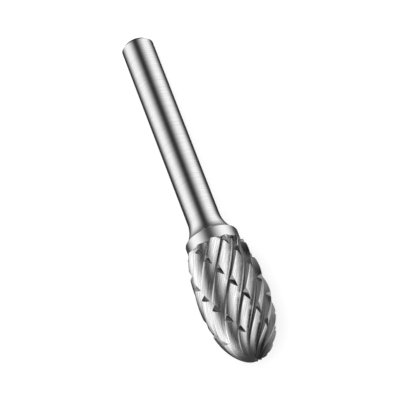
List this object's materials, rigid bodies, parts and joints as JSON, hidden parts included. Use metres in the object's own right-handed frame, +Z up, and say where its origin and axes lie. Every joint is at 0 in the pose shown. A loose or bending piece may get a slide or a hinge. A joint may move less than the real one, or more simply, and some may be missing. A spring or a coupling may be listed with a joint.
{
  "type": "carbide burr",
  "caption": "Rotary burr: an oval tungsten carbide head with right-hand spiral teeth cut across by staggered chip-breaker notches, brazed to a plain round steel shank.",
  "frame": {"origin": "centre of the bounding box on the surface that the burr lies on", "axes": "+X from the nose to the end of the shank, level; +Z up; the tool's own axis lies in the XZ plane and slopes down towards the shank's end by the lie angle, about 3.6 degrees"},
  "size_m": [0.067, 0.0126, 0.0127],
  "materials": {
    "carbide": "ground tungsten carbide, bright, with fine grinding lines along the teeth",
    "braze": "dull grey silver braze",
    "steel": "ground and polished hardened steel"
  },
  "bodies": {
    "root": {"cutting_head": "carbide", "braze_joint": "braze", "shank": "steel"}
  },
  "joints": []
}
